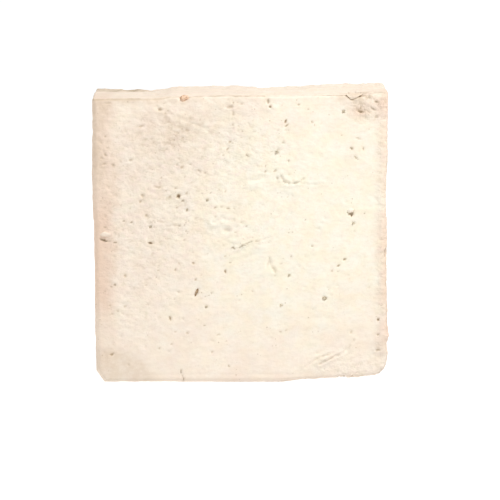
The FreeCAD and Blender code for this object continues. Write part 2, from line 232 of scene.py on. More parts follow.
# Pits of the front face: (X, Z, half length, half width, tilt of the length from +X, how dark its dirt is).
PITS = [
    (-22.7, 48.4, 0.6, 0.16, 5, 0.5), (-13.75, 47.2, 0.4, 0.24, 0, 0.6), (-12.8, 46.5, 0.3, 0.2, -40, 0.6),
    (-17.0, 44.3, 0.62, 0.24, 22, 0.55), (-13.0, 48.3, 0.2, 0.15, 0, 0.55), (-1.7, 47.6, 0.75, 0.26, 8, 0.5),
    (-1.2, 48.4, 0.2, 0.16, 0, 0.6), (-1.2, 46.6, 0.45, 0.16, 90, 0.45), (-1.2, 44.6, 0.2, 0.15, 0, 0.5),
    (4.95, 48.7, 0.5, 0.24, 80, 0.8), (5.2, 47.7, 0.38, 0.28, 80, 0.85), (10.2, 48.1, 0.2, 0.16, 0, 0.6),
    (11.9, 47.2, 0.22, 0.18, -20, 0.6), (7.85, 45.2, 0.42, 0.16, 80, 0.75), (8.1, 44.5, 0.34, 0.2, 50, 0.75),
    (8.5, 43.6, 0.18, 0.14, 0, 0.4), (12.45, 45.1, 0.26, 0.18, 0, 0.65), (12.9, 44.6, 0.22, 0.14, -50, 0.55),
    (20.7, 47.0, 0.7, 0.3, -28, 0.85), (20.9, 47.6, 0.36, 0.14, 60, 0.6),
    (23.6, 48.5, 0.55, 0.16, -14, 0.58), (22.9, 47.4, 0.62, 0.17, -38, 0.62),
    (23.4, 46.0, 0.26, 0.18, -40, 0.5), (23.1, 45.5, 0.2, 0.14, 0, 0.4), (20.4, 42.3, 0.6, 0.13, -20, 0.45),
    (19.3, 40.6, 0.38, 0.18, -38, 0.75), (21.2, 40.4, 0.34, 0.2, 75, 0.65),
    (20.2, 38.9, 0.62, 0.15, -40, 0.65), (17.6, 42.7, 0.17, 0.14, 0, 0.5),
    (19.3, 28.75, 0.26, 0.15, 86, 0.9), (6.6, 40.3, 0.36, 0.24, -10, 0.45), (7.5, 41.6, 0.42, 0.15, -8, 0.5),
    (8.4, 38.4, 0.24, 0.2, 0, 0.6), (1.35, 39.3, 0.46, 0.18, -22, 0.65), (-2.85, 39.3, 0.2, 0.16, 0, 0.55),
    (-2.1, 40.4, 0.36, 0.16, 80, 0.65), (-1.8, 41.6, 0.3, 0.22, 20, 0.6), (1.6, 42.3, 0.16, 0.14, 0, 0.45),
    (0.4, 43.5, 0.26, 0.13, -10, 0.5), (3.6, 37.5, 0.2, 0.16, 0, 0.5), (4.5, 37.5, 0.2, 0.16, 30, 0.55),
    (4.5, 36.4, 0.26, 0.16, 30, 0.6), (6.0, 36.6, 0.42, 0.18, 22, 0.55), (6.4, 35.4, 0.32, 0.25, 60, 0.5),
    (3.0, 35.1, 0.75, 0.24, 6, 0.28), (8.2, 32.1, 0.16, 0.14, 0, 0.5), (9.0, 32.3, 0.16, 0.13, 0, 0.45),
    (-10.0, 37.3, 0.32, 0.24, 0, 0.55), (-10.8, 37.7, 0.18, 0.14, 0, 0.45),
    (-7.1, 36.7, 0.44, 0.16, -28, 0.55), (-13.6, 35.4, 0.22, 0.16, 0, 0.5),
    (-9.5, 35.5, 0.16, 0.14, 0, 0.45), (-14.1, 33.8, 0.75, 0.13, 0, 0.5),
    (-12.8, 33.1, 0.26, 0.16, -20, 0.5), (-12.1, 32.1, 0.26, 0.18, 10, 0.55),
    (-10.6, 32.2, 0.42, 0.3, 80, 0.95), (-9.8, 31.5, 0.34, 0.18, -30, 0.75),
    (-9.2, 32.8, 0.26, 0.14, 0, 0.5), (-10.9, 30.3, 0.26, 0.13, 30, 0.45), (-6.4, 32.8, 0.2, 0.14, 30, 0.5),
    (-5.0, 32.8, 0.22, 0.14, 30, 0.5), (-4.2, 30.3, 0.26, 0.18, 0, 0.55), (-2.05, 30.1, 0.26, 0.18, 0, 0.6),
    (-3.3, 33.1, 0.16, 0.13, 0, 0.4), (-2.6, 33.1, 0.16, 0.13, 0, 0.4), (-16.9, 32.3, 0.34, 0.26, -50, 0.6),
    (-17.2, 31.3, 0.26, 0.2, 80, 0.6), (-16.1, 28.9, 0.26, 0.2, -60, 0.6),
    (-20.1, 27.9, 0.22, 0.18, 0, 0.65), (-18.75, 27.7, 0.3, 0.22, 0, 0.75),
    (-9.4, 27.7, 0.18, 0.13, 20, 0.5), (-8.8, 27.9, 0.16, 0.12, 20, 0.5), (-7.6, 28.2, 0.26, 0.12, 10, 0.5),
    (-9.6, 27.2, 0.16, 0.14, 60, 0.5), (-9.4, 26.3, 0.2, 0.16, 0, 0.6), (-9.1, 25.9, 0.2, 0.13, -30, 0.5),
    (-15.4, 24.1, 0.56, 0.24, -12, 0.9), (-21.5, 24.15, 0.4, 0.18, 5, 0.75),
    (-23.7, 24.6, 0.6, 0.14, -22, 0.6), (-9.7, 24.6, 0.24, 0.22, 0, 0.5), (-2.3, 26.3, 0.62, 0.42, 20, 0.4),
    (1.1, 27.1, 0.2, 0.17, 0, 0.6), (11.3, 28.1, 0.16, 0.14, 0, 0.6), (12.5, 23.6, 0.22, 0.18, 0, 0.65),
    (8.8, 21.9, 0.2, 0.16, 0, 0.6), (7.2, 20.5, 0.24, 0.12, 10, 0.4), (-2.6, 21.8, 0.18, 0.15, 0, 0.5),
    (-1.6, 20.7, 0.24, 0.13, 0, 0.5), (6.0, 18.5, 0.36, 0.15, -10, 0.35), (-2.4, 19.2, 0.46, 0.18, 86, 0.8),
    (-8.1, 20.65, 0.28, 0.18, -10, 0.75), (-11.2, 19.6, 0.17, 0.14, 0, 0.5),
    (-14.1, 19.4, 0.16, 0.14, 0, 0.5), (-19.8, 18.5, 0.32, 0.28, 40, 0.55),
    (-21.6, 16.9, 0.34, 0.24, 10, 0.7), (-7.7, 17.8, 0.22, 0.18, -20, 0.65),
    (-6.0, 14.8, 0.16, 0.12, 20, 0.45), (-5.4, 15.0, 0.18, 0.12, 20, 0.5),
    (-4.9, 15.4, 0.18, 0.13, 10, 0.45), (-3.9, 17.3, 0.18, 0.16, 0, 0.35),
    (2.15, 15.8, 0.22, 0.18, -20, 0.5), (-0.7, 13.9, 0.16, 0.13, 20, 0.45),
    (18.1, 21.2, 0.38, 0.16, 42, 0.7), (17.0, 20.2, 0.46, 0.15, 22, 0.65), (15.9, 19.2, 0.22, 0.13, 0, 0.5),
    (16.9, 19.2, 0.18, 0.13, 0, 0.4), (19.8, 26.3, 0.16, 0.14, 0, 0.5), (21.4, 29.3, 0.15, 0.14, 0, 0.6),
    (-12.1, 11.1, 0.62, 0.19, -58, 0.75), (-9.8, 10.9, 0.42, 0.18, -60, 0.35),
    (-11.2, 8.7, 0.22, 0.16, 0, 0.5), (-9.2, 8.5, 0.3, 0.24, -30, 0.6), (-6.0, 9.7, 0.26, 0.12, 20, 0.45),
    (-3.7, 8.1, 0.52, 0.13, 0, 0.4), (7.1, 8.6, 0.16, 0.14, 0, 0.5), (8.0, 9.0, 0.16, 0.13, 0, 0.45),
    (23.9, 10.7, 0.38, 0.2, 84, 0.85), (19.3, 8.6, 0.4, 0.22, 80, 0.45), (23.9, 8.2, 0.22, 0.17, 0, 0.6),
    (23.9, 5.5, 0.5, 0.22, 10, 0.55), (-14.0, 5.75, 0.24, 0.18, 0, 0.6), (-11.8, 6.5, 0.3, 0.16, 22, 0.45),
    (-4.8, 5.1, 0.26, 0.24, 0, 0.55), (-1.9, 2.7, 0.24, 0.15, -30, 0.6), (-22.2, 4.7, 0.42, 0.2, 5, 0.75),
    (-19.3, 2.9, 0.2, 0.16, 0, 0.35), (-20.0, 6.1, 0.3, 0.14, -15, 0.45), (-22.5, 13.2, 0.3, 0.18, -20, 0.5),
    (-21.1, 12.3, 0.2, 0.16, 0, 0.5), (-19.9, 12.9, 0.24, 0.18, 40, 0.5), (-23.1, 39.3, 0.46, 0.2, -30, 0.6),
    (-23.4, 37.8, 0.44, 0.28, 10, 0.5), (-21.8, 37.6, 0.22, 0.18, 0, 0.5), (-18.8, 38.6, 0.4, 0.28, 10, 0.5),
    (-23.3, 42.5, 0.2, 0.16, 0, 0.5),
]

# Cracks, creases and scratches of the front face: (points, half width, depth, raised lip, how dark).
CRACKS = [
    ([(-1.2, 23.3), (-0.55, 23.05), (0.45, 23.65)], 0.13, 0.28, 0.12, 0.8),
    ([(0.45, 23.65), (1.1, 23.9), (2.0, 24.45)], 0.11, 0.18, 0.12, 0.42),
    ([(2.7, 24.55), (3.2, 24.6)], 0.15, 0.22, 0.05, 0.95),
    ([(7.1, 35.9), (7.8, 34.6), (8.7, 34.3), (10.0, 34.6), (11.2, 35.3)], 0.21, 0.18, 0.09, 0.36),
    ([(10.0, 34.6), (12.0, 34.35), (14.1, 34.4)], 0.17, 0.1, 0.05, 0.2),
    ([(-14.8, 26.8), (-13.2, 26.9), (-11.8, 27.2), (-9.6, 27.4)], 0.14, 0.1, 0.05, 0.35),
    ([(-10.2, 2.1), (-10.05, 1.2), (-9.8, 0.2)], 0.12, 0.26, 0.03, 0.65),
    ([(11.4, 2.4), (13.2, 3.9), (15.6, 4.9)], 0.2, 0.11, 0.1, 0.16),
    ([(13.8, 3.1), (16.6, 4.4), (18.5, 5.4), (19.7, 7.3)], 0.2, 0.12, 0.12, 0.16),
    ([(4.6, 20.0), (5.0, 21.3), (5.4, 20.2), (6.1, 19.2)], 0.3, 0.14, 0.06, 0.4),
    ([(3.5, 24.5), (5.4, 25.3)], 0.16, 0.05, 0.08, 0.03),
    ([(-14.3, 47.6), (-11.5, 46.2), (-8.5, 45.0), (-5.4, 43.8)], 0.3, 0.1, 0.05, 0.22),
    ([(7.6, 34.9), (8.5, 34.5), (9.4, 34.6)], 0.26, 0.14, 0.05, 0.36),
    ([(1.8, 35.0), (2.9, 35.4), (4.4, 35.3)], 0.36, 0.07, 0.04, 0.12),
    ([(-4.6, 27.6), (-3.0, 28.4), (-1.0, 28.0)], 0.26, 0.07, 0.08, 0.16),
    ([(-22.4, 45.6), (-18.0, 46.1)], 0.16, 0.05, 0.03, 0.1),
    ([(-1.4, 49.2), (-1.2, 47.5), (-1.35, 45.8), (-1.2, 44.0)], 0.13, 0.09, 0.03, 0.42),
]

# Raised lumps of the front face: (X, Z, half length, half width, tilt, height).
LUMPS = [
    (6.0, 47.6, 0.55, 0.45, 0, 0.14), (-17.0, 43.8, 0.6, 0.3, 15, 0.1), (-13.2, 46.8, 0.7, 0.5, 0, 0.12),
    (-3.6, 27.3, 1.9, 0.6, 0, 0.14), (-0.2, 24.6, 1.3, 0.5, 20, 0.12), (1.4, 22.5, 2.8, 0.55, 22, 0.1),
    (4.6, 25.6, 1.6, 0.5, 24, 0.08), (8.0, 37.0, 1.3, 1.0, 10, 0.07), (-22.9, 25.6, 1.0, 0.7, 0, 0.1),
    (20.4, 49.0, 0.9, 0.35, 10, 0.08), (22.3, 48.3, 0.7, 0.45, -15, 0.14), (22.2, 46.2, 0.7, 0.5, -30, 0.12),
    (-15.7, 31.9, 1.0, 0.8, 0, 0.08), (4.3, 18.7, 1.3, 0.45, 15, 0.09), (13.0, 10.0, 2.6, 0.8, 6, 0.08),
    (12.4, 6.8, 1.2, 0.5, 0, 0.06), (-6.0, 6.2, 1.3, 0.35, 0, 0.06), (-17.2, 10.8, 1.6, 0.5, 10, 0.07),
    (2.9, 34.2, 2.0, 0.6, 4, 0.1), (9.0, 32.9, 1.9, 0.6, -8, 0.08), (14.0, 22.8, 3.2, 0.6, 10, 0.06),
    (2.6, 38.4, 1.6, 1.0, -20, 0.07), (-14.0, 24.9, 1.0, 0.5, 0, 0.07), (21.6, 29.9, 2.5, 0.5, 5, 0.06),
    (-19.6, 14.0, 0.9, 0.5, 0, 0.09),
]

# Chips knocked out of the edges: (X, Y, Z, radius, depth).
CHIPS = [
    (25.3, -11.6, 37.6, 0.7, 0.22), (25.4, -11.8, 22.4, 0.9, 0.35), (25.9, -11.4, 6.0, 0.9, 0.4),
    (25.4, -12.0, 17.0, 0.6, 0.18), (-25.5, -11.5, 43.2, 0.9, 0.18), (-25.6, -11.0, 28.3, 0.8, 0.2),
    (-20.2, 11.6, 49.5, 1.1, 0.25), (-13.0, 10.5, 49.6, 1.0, 0.22), (25.4, -11.0, 48.6, 1.0, 0.35),
    (17.6, -12.3, 0.3, 0.9, 0.45), (21.6, -12.5, 50.0, 0.8, 0.25), (13.9, -12.6, 0.2, 0.5, 0.35),
    (15.6, -12.5, 0.3, 0.6, 0.4), (17.4, -12.6, 0.4, 0.4, 0.3), (19.4, -12.4, 0.6, 0.5, 0.4),
    (21.4, -12.3, 0.8, 0.5, 0.4), (23.0, -12.2, 1.3, 0.5, 0.3), (-24.9, 12.0, 14.0, 2.2, 0.5),
    (25.0, 12.3, 40.0, 2.6, 0.6), (3.0, 12.8, 49.6, 2.4, 0.5), (-14.0, 12.7, 0.2, 2.0, 0.5),
    (25.3, 3.0, 49.8, 1.6, 0.35), (-25.3, 6.0, 49.2, 1.4, 0.3), (-24.6, -3.0, 1.6, 1.6, 0.3),
    (24.9, 5.0, 1.4, 1.8, 0.4),
]


def tilted(x, z, middle, tilt):
    """Offsets from middle along and across a direction tilted from +X."""
    angle = math.radians(tilt)
    dx, dz = x - middle[0], z - middle[1]
    return dx * math.cos(angle) + dz * math.sin(angle), dz * math.cos(angle) - dx * math.sin(angle)


def away_from_line(x, z, line):
    """Distance from each (x, z) to a line of points."""
    nearest = np.full(len(x), 1e9)
    for (x1, z1), (x2, z2) in zip(line, line[1:]):
        run, rise = x2 - x1, z2 - z1
        share = np.clip(((x - x1) * run + (z - z1) * rise) / (run * run + rise * rise), 0, 1)
        nearest = np.minimum(nearest, np.hypot(x - x1 - share * run, z - z1 - share * rise))
    return nearest


# Rougher patches of the front face: (middle, reach, how much rougher).
ROUGH_PATCHES = [
    ((-12, 40), (14, 11), 0.76), ((-16, 20), (12, 12), 0.5), ((2, 42), (8, 8), 0.5),
    ((-22, 30), (4, 16), 0.35), ((0, 27), (9, 7), 0.24), ((-14, 29), (10, 7), 0.4),
    ((22.0, 47.8), (4.0, 3.2), 0.9), ((20, 2.0), (8, 3.4), 0.75), ((-20, 10), (5, 5), 0.35),
]


def patches(x, z, table):
    """The sum of a table's soft patches: (middle, reach, strength)."""
    return sum(strength * blob(x, z, middle, reach) for middle, reach, strength in table)


def coarseness(x, z):
    """How rough the front face is: rough at the upper left, the right corners and the right edge."""
    rough = 0.34 + patches(x, z, ROUGH_PATCHES) + 0.7 * smooth(23.0, 24.6, x)
    return rough * (1 - 0.8 * blob(x, z, (-20, 2.0), (7, 4.0), 4))


def streaks(points):
    """(long ripples, short strokes) of the surface, running down to the right, and up at the lower right."""
    x, z = points[:, 0], points[:, 2]
    along, across = tilted(x, z, (0, 0), -17)
    across = across + 0.45 * noise(np.array([x, x * 0 + 8.2, z]).T, 4.0, 85)
    across = across - 0.5 * smooth(38, 5, z) * np.maximum(x + 4, 0)
    ripples = noise(np.array([along / 2.3, x * 0 + 3.1, across]).T, 1.15, 3)
    strokes = layered(np.array([along / 1.7, x * 0 + 5.7, across]).T, 0.62, 2, 4, 0.7)
    return ripples, strokes


def front_relief(points):
    """(height, pit dirt) of the front face's relief at each point, by its X and Z."""
    x, z = points[:, 0], points[:, 2]
    flat = np.array([x, x * 0 + 8.2, z]).T
    rough = coarseness(x, z)
    ripples, strokes = streaks(points)
    lumps = layered(flat / (1.4, 1, 1), 3.4, 2, 11)
    height = 0.13 * noise(flat, 13, 5) + 0.050 * (0.4 + 0.7 * rough) * lumps
    height = height - 0.095 * rough * np.abs(ripples) + 0.046 * (0.05 + rough) * strokes
    grubby = rough * (1 - 0.85 * blob(x, z, (21, 1.8), (7, 4.5)))
    grubby *= 1 - 0.8 * smooth(22.0, 24.0, x) * smooth(46, 42, z)
    dirt_and_shade = 0.36 * grubby * smooth(0.22, 0.80, -strokes)
    along, across = tilted(x, z, (0, 0), -17)

    wobble = 0.20 * noise(flat, 0.45, 21)
    x = x + 0.16 * noise(flat, 1.5, 81) + 0.09 * noise(flat, 0.55, 82)
    z = z - 0.12 + 0.16 * noise(flat, 1.5, 83) + 0.09 * noise(flat, 0.55, 84)
    for px, pz, long, wide, tilt, tone in PITS:
        close = (np.abs(x - px) < long + 0.7) & (np.abs(z - pz) < long + 0.7)
        a, b = tilted(x[close], z[close], (px, pz), tilt)
        far = np.hypot(a / (long + 0.05), b / (wide + 0.05)) + wobble[close]
        depth = (0.09 + 0.55 * wide) * (0.3 + 0.8 * tone)
        height[close] -= depth * smooth(1.25, 0.25, far)
        height[close] += 0.22 * depth * smooth(2.4, 1.3, far) * smooth(0.9, 1.3, far)
        grime = min(1.0, tone * (0.70 + 0.07 / wide))
        dirt_and_shade[close] = np.maximum(dirt_and_shade[close], grime * smooth(1.2, 0.45, far))
    for px, pz, long, wide, tilt, rise in LUMPS:
        a, b = tilted(x, z, (px, pz), tilt)
        height += rise * smooth(1.4, 0.2, np.hypot(a / long, b / wide) + wobble)
    broken = smooth(-0.45, 0.35, noise(flat, 0.9, 86))
    for line, wide, depth, lip, tone in CRACKS:
        far = away_from_line(x, z, line) + 3.0 * wide * wobble + 0.5 * wide * (1 - broken)
        open_here = 0.60 + 0.40 * broken
        height += lip * smooth(wide * 5, wide * 1.6, far)
        height -= (depth * open_here + lip) * smooth(wide * 1.7, wide * 0.3, far)
        dirt_and_shade = np.maximum(dirt_and_shade, tone * open_here * smooth(wide * 1.5, wide * 0.5, far))

    # A net of crevices in the crumbly corners.
    veins = smooth(0.16, 0.0, np.abs(layered(flat, 1.25, 2, 93)))
    shattered = blob(x, z, (22.2, 47.6), (3.4, 2.8), 4) * smooth(0.0, 0.3, noise(flat, 1.6, 94) + 0.25)
    height -= 0.16 * veins * shattered
    dirt_and_shade = np.maximum(dirt_and_shade, 0.52 * veins * shattered)
    distance, chance = pores(np.array([along / 1.7, x * 0, across]).T, 0.80, 2)
    shown = chance[:, 0] < 0.58 * rough - 0.04
    size = 0.13 + 0.16 * chance[:, 1]
    pore = smooth(1.3, 0.4, distance / size) * shown
    height -= 0.11 * pore * (0.3 + chance[:, 2])
    dirt_and_shade = np.maximum(dirt_and_shade, (0.12 + 0.55 * chance[:, 2]) * pore * np.clip(grubby * 1.6, 0, 1))
    return height, dirt_and_shade


def relief(points, normals):
    """(height, pit dirt with painted shade along the top front rim) everywhere: the front's own relief, and
    plainer pressed chalk on the other faces.
    """
    x, y, z = points.T
    facing = smooth(0.25, 0.7, -normals[:, 1])
    height, dirt_and_shade = front_relief(points)
    height *= facing
    dirt_and_shade *= facing

    plain = 0.12 * noise(points, 9, 31) + 0.08 * layered(points, 2.8, 3, 33, 0.55)
    plain = plain - 0.09 * np.abs(noise(points / (1.6, 1.6, 1), 1.7, 36))
    distance, chance = pores(points, 1.7, 6)
    pore = smooth(1.4, 0.4, distance / (0.10 + 0.16 * chance[:, 1])) * (chance[:, 0] < 0.42)
    plain = plain - 0.26 * pore * (0.4 + chance[:, 2])
    height += (1 - facing) * plain
    dirt_and_shade = np.maximum(dirt_and_shade, (1 - facing) * (0.25 + 0.70 * chance[:, 2]) * pore)

    # The rim of each broad face crumbles: small bites and grains along the rounded edge.
    turned = 1 - np.max(np.abs(normals), axis=1)
    rim = smooth(0.02, 0.16, turned)
    height += rim * (0.05 * layered(points, 1.1, 2, 41) - 0.02)
    for px, py, pz, radius, depth in CHIPS:
        far = np.linalg.norm(points - (px, py, pz), axis=1) / radius
        bite = smooth(1.3, 0.5, far + 0.15 * noise(points, 0.5, 45))
        height -= depth * bite
        dirt_and_shade = np.maximum(dirt_and_shade, (0.60 if py < -12 and pz < 2 else 0.30) * bite)

    # The back edge of the top is darker and browner on the left.
    ragged = x + 1.2 * layered(points, 2.5, 2, 46)
    back_edge_darkening = 0.42 * smooth(-26.8, -25.6, ragged) * smooth(-15.4, -17.6, ragged)
    back_edge_darkening += 0.15 * smooth(-12.0, -14.0, ragged)
    back_edge_darkening *= 1 + 0.5 * layered(points, 1.6, 2, 48)
    back_edge_darkening *= smooth(-3.0, 9.0, y + 3.0 * layered(points, 3.0, 2, 47)) * smooth(0.1, 0.4, normals[:, 2])
    dirt_and_shade = np.maximum(dirt_and_shade, back_edge_darkening)

    # A worn crease along the top front edge, a fainter one below it on the left, and one over the foot. The
    # dark tint of the top crease is painted shade, standing for the shadow line under the rim and dimming the
    # rim's highlight.
    top = np.interp(x, *TOP_SIDE)
    front_only = smooth(0.05, 0.35, -normals[:, 1])
    waver = 0.06 * noise(np.array([x, x * 0, x * 0]).T, 3.0, 51)
    broken = smooth(-0.5, 0.4, noise(np.array([x, x * 0 + 2, z]).T, 2.2, 52))
    lowered = 0.16 * smooth(-10, -15, x)
    rim_groove_and_shade = np.exp(-(((z - top + lowered + waver) / 0.36) ** 2)) * np.interp(x, *RIM_CREASE_AND_SHADE)
    rim_groove_and_shade *= 0.7 + 0.3 * broken
    second = np.exp(-(((z - top + 0.95 + waver) / 0.15) ** 2)) * smooth(-12, -18, x) * broken
    crease = np.exp(-(((z - 1.35 - waver) / 0.25) ** 2)) * smooth(-19, -14, x) * smooth(16, 8, x)
    height -= front_only * ((0.03 + 0.09 * smooth(-16, -10, x)) * rim_groove_and_shade + 0.03 * second + 0.05 * crease)
    dirt_and_shade = np.maximum(dirt_and_shade, front_only * (0.62 * rim_groove_and_shade + 0.12 * second + 0.08 * crease))

    # A crumbly crack that wanders over the top from behind the flake.
    wander = away_from_line(x, y, [(18.7, -12.3), (20.0, -10.6), (21.4, -8.4), (22.8, -6.6), (24.6, -9.4)])
    wander = smooth(1.5, 0.3, wander + 0.6 * noise(points, 1.0, 55)) * smooth(0.3, 0.7, normals[:, 2])
    height -= 0.12 * wander
    dirt_and_shade = np.maximum(dirt_and_shade, 0.42 * wander)
    return height, dirt_and_shade


# Seats of the pieces set in the cake: (middle, half length, half width, tilt, node).
SEATED = {
    "middle_nodule": [((19.10, 29.88), 0.54, 0.40, 10)],
    "edge_nodule": [((-23.20, 25.68), 1.00, 0.52, -6)],
    "brown_splinter": [((-7.50, 15.62), 0.70, 0.22, 66)],
    "rust_fragment": [((-9.60, 49.35), 0.80, 0.48, 14)],
    "grit_grains": [
        ((14.60, 14.60), 0.36, 0.27, -25), ((7.10, 13.40), 0.20, 0.16, 30), ((-5.80, 13.15), 0.21, 0.17, 0),
        ((8.50, 18.60), 0.18, 0.15, 0), ((-15.45, 27.05), 0.27, 0.21, 50), ((-9.10, 30.00), 0.25, 0.15, 60),
        ((-5.65, 31.70), 0.21, 0.16, 20), ((19.55, 27.65), 0.21, 0.15, 40), ((6.40, 40.00), 0.26, 0.18, -40),
        ((17.85, 47.00), 0.22, 0.19, 0),
    ],
}

# The open gap under each hard nodule, its dark tone painted shadow: (middle, half length, half width, tilt,
# how dark its painted shadow is).
GAPS_WITH_PAINTED_SHADOW = {
    "middle_nodule": ((19.22, 29.30), 0.48, 0.44, 0, 0.74),
    "edge_nodule": ((-23.45, 24.70), 0.85, 0.20, -22, 0.80),
}


def front_surface(x, z):
    """Y of the cake's finished front face at (x, z), pits aside."""
    starts = np.array([[x, FRONT + 6, z]])
    hit = cast(block, starts, starts - (0, 9, 0))
    return hit[0, 1]


def seats(points, normals):
    """(height, pit dirt and painted shadow) of the sockets round the seated pieces, with the open gap under
    each nodule darkened by painted shadow.
    """
    x, z = points[:, 0], points[:, 2]
    height = np.zeros(len(points))
    dirt_and_shade = np.zeros(len(points))
    facing = smooth(0.15, 0.4, -normals[:, 1])
    for node, places in SEATED.items():
        for middle, long, wide, tilt in places:
            a, b = tilted(x, z, middle, tilt)
            far = np.hypot(a / (long + 0.04), b / (wide + 0.04))
            socket = smooth(1.25, 0.8, far)
            if "nodule" in node:
                socket *= smooth(0.2 * wide, -0.5 * wide, b)
            else:
                dirt_and_shade = np.maximum(dirt_and_shade, facing * 0.30 * socket)
            height -= facing * socket * (0.10 if node == "edge_nodule" else 0.22 + 0.3 * wide)
        if node in GAPS_WITH_PAINTED_SHADOW:
            (gx, gz), long, wide, tilt, tone = GAPS_WITH_PAINTED_SHADOW[node]
            a, b = tilted(x, z, (gx, gz), tilt)
            gap = smooth(1.25, 0.6, np.hypot(a / long, b / wide))
            height -= facing * 0.30 * gap
            # The dark tone in the gap is painted shadow.
            dirt_and_shade = np.maximum(dirt_and_shade, facing * tone * gap)
    return height, dirt_and_shade


# Spots of pink rub, which show on the back face too, and clouds of dust on the front alone:
# (middle, reach, strength).
RUBS = [
    ((-10.0, 37.4), (1.0, 0.5), 0.3), ((-10.0, 48.7), (1.2, 0.7), 0.25), ((20.6, 46.9), (1.6, 1.2), 0.75),
    ((22.0, 48.2), (3.0, 2.0), 0.35),
]
CLOUDS = [
    ((-9.0, 45.0), (7.5, 3.2), 0.85), ((-2.0, 47.6), (3.5, 1.6), 0.55), ((-13.0, 41.0), (6.0, 3.5), 0.35),
    ((21.6, 48.0), (3.4, 1.9), 0.4), ((18.5, 49.2), (5.5, 1.8), 0.45), ((-23.6, 47.8), (2.6, 2.0), 0.95),
    ((24.2, 5.9), (2.6, 1.7), 0.8), ((18.6, 49.7), (3.2, 1.0), 0.7),
]


def pink_rub(points, normals, edge):
    """Worn pinkish skin: bands along both sides and the foot, small spots, and more of it off the front."""
    x, y, z = points.T
    ahead = 0.35 + 0.65 * smooth(3, -9, y)
    left = ahead * smooth(-20.3, -23.6, x + 0.9 * edge) * (0.55 + 0.45 * smooth(9, 17, z) * smooth(36, 26, z))
    left *= 0.25 + 0.75 * smooth(3, 13, z)
    right = ahead * smooth(22.7, 25.9, x + 0.9 * edge)
    right *= 0.58 + 0.30 * smooth(40, 18, z) + 0.25 * smooth(42, 46, z)
    right *= 0.10 + 0.90 * smooth(3, 10, z)
    foot = 0.30 * smooth(1.9, 0.4, z + 0.3 * edge) * smooth(-18, -12, x)
    skin = 0.35 * smooth(0.2, 0.8, layered(points, 6.0, 2, 63))
    other = 1 - smooth(0.2, 0.6, -normals[:, 1])
    other *= 0.30 + 0.3 * np.clip(layered(points, 7, 2, 65), -0.5, 1)
    other *= 1 - 0.6 * smooth(0.4, 0.8, normals[:, 2])
    return np.maximum.reduce([left, right, foot, other]) + 0.25 * skin + patches(x, z, RUBS)


def dust_and_rim_shade(points, normals, edge):
    """Greyish dust: a smear on the bottom left corner, clouds on the front, and a mottle elsewhere; along the
    top front rim it is painted shade.
    """
    x, y, z = points.T
    ripples, strokes = streaks(points)
    patchy = 0.62 + 0.28 * layered(points, 1.4, 3, 67, 0.8) - 0.38 * strokes + 0.5 * np.abs(ripples)
    front = smooth(0.0, 0.4, -normals[:, 1])
    smear = smooth(1.15, 0.8, np.hypot((x + 24) / 9.5, z / 6.3) + 0.05 * edge)
    smear *= 1 - 0.45 * smooth(-23.6, -24.8, x)
    cloud = patches(x, z, CLOUDS)
    cloud += 0.45 * smooth(-22.6, -24.2, x) * smooth(26, 38, z)
    cloud += 0.55 * smooth(-23.2, -24.4, x) * smooth(32, 41, z)
    # Painted shade: darker along the top front rim, most on the left, dimming the rim's highlight.
    painted_rim_shade = smooth(-1.6, -0.2, z - np.interp(x, *TOP_SIDE)) * smooth(8, 2, x)
    cloud += (0.45 + 0.35 * smooth(-9, -14, x)) * painted_rim_shade
    veil = 0.30 * smooth(4, -20, x) * patchy * (0.5 + 0.5 * smooth(30, 40, z))
    dust_and_shade = front * (0.75 * smear + np.clip(cloud * patchy, 0, 1.2) + veil)
    elsewhere = 0.38 * smooth(-0.35, 0.8, layered(points, 5.0, 4, 68, 0.7))
    elsewhere += 0.25 * np.abs(noise(points, 1.6, 74))
    elsewhere *= 1 - 0.8 * blob(x, z, (25, 1.5), (3.5, 4.0))
    upward = smooth(0.4, 0.8, normals[:, 2])
    dust_and_shade += (1 - front) * elsewhere * (1 - 0.6 * upward)
    return dust_and_shade + 0.75 * upward * blob(x, y, (20.6, -10.4), (3.4, 3.6))


def stains(points, normals):
    """(pink rub, grey dust with painted shade along the top front rim, paler chalk) at each point, each from
    0 to 1.
    """
    edge = 1.1 * layered(points, 3.0, 3, 61)
    rub_and_shade = pink_rub(points, normals, edge)
    dust_and_shade = dust_and_rim_shade(points, normals, edge)
    pale = 1.1 * blob(points[:, 0], points[:, 2], (11, 28), (24, 24), 3) + 0.25 * layered(points, 4.5, 2, 69)
    return np.clip(rub_and_shade, 0, 1), np.clip(dust_and_shade, 0, 1), np.clip(pale, 0, 1)


# ---- mesh code

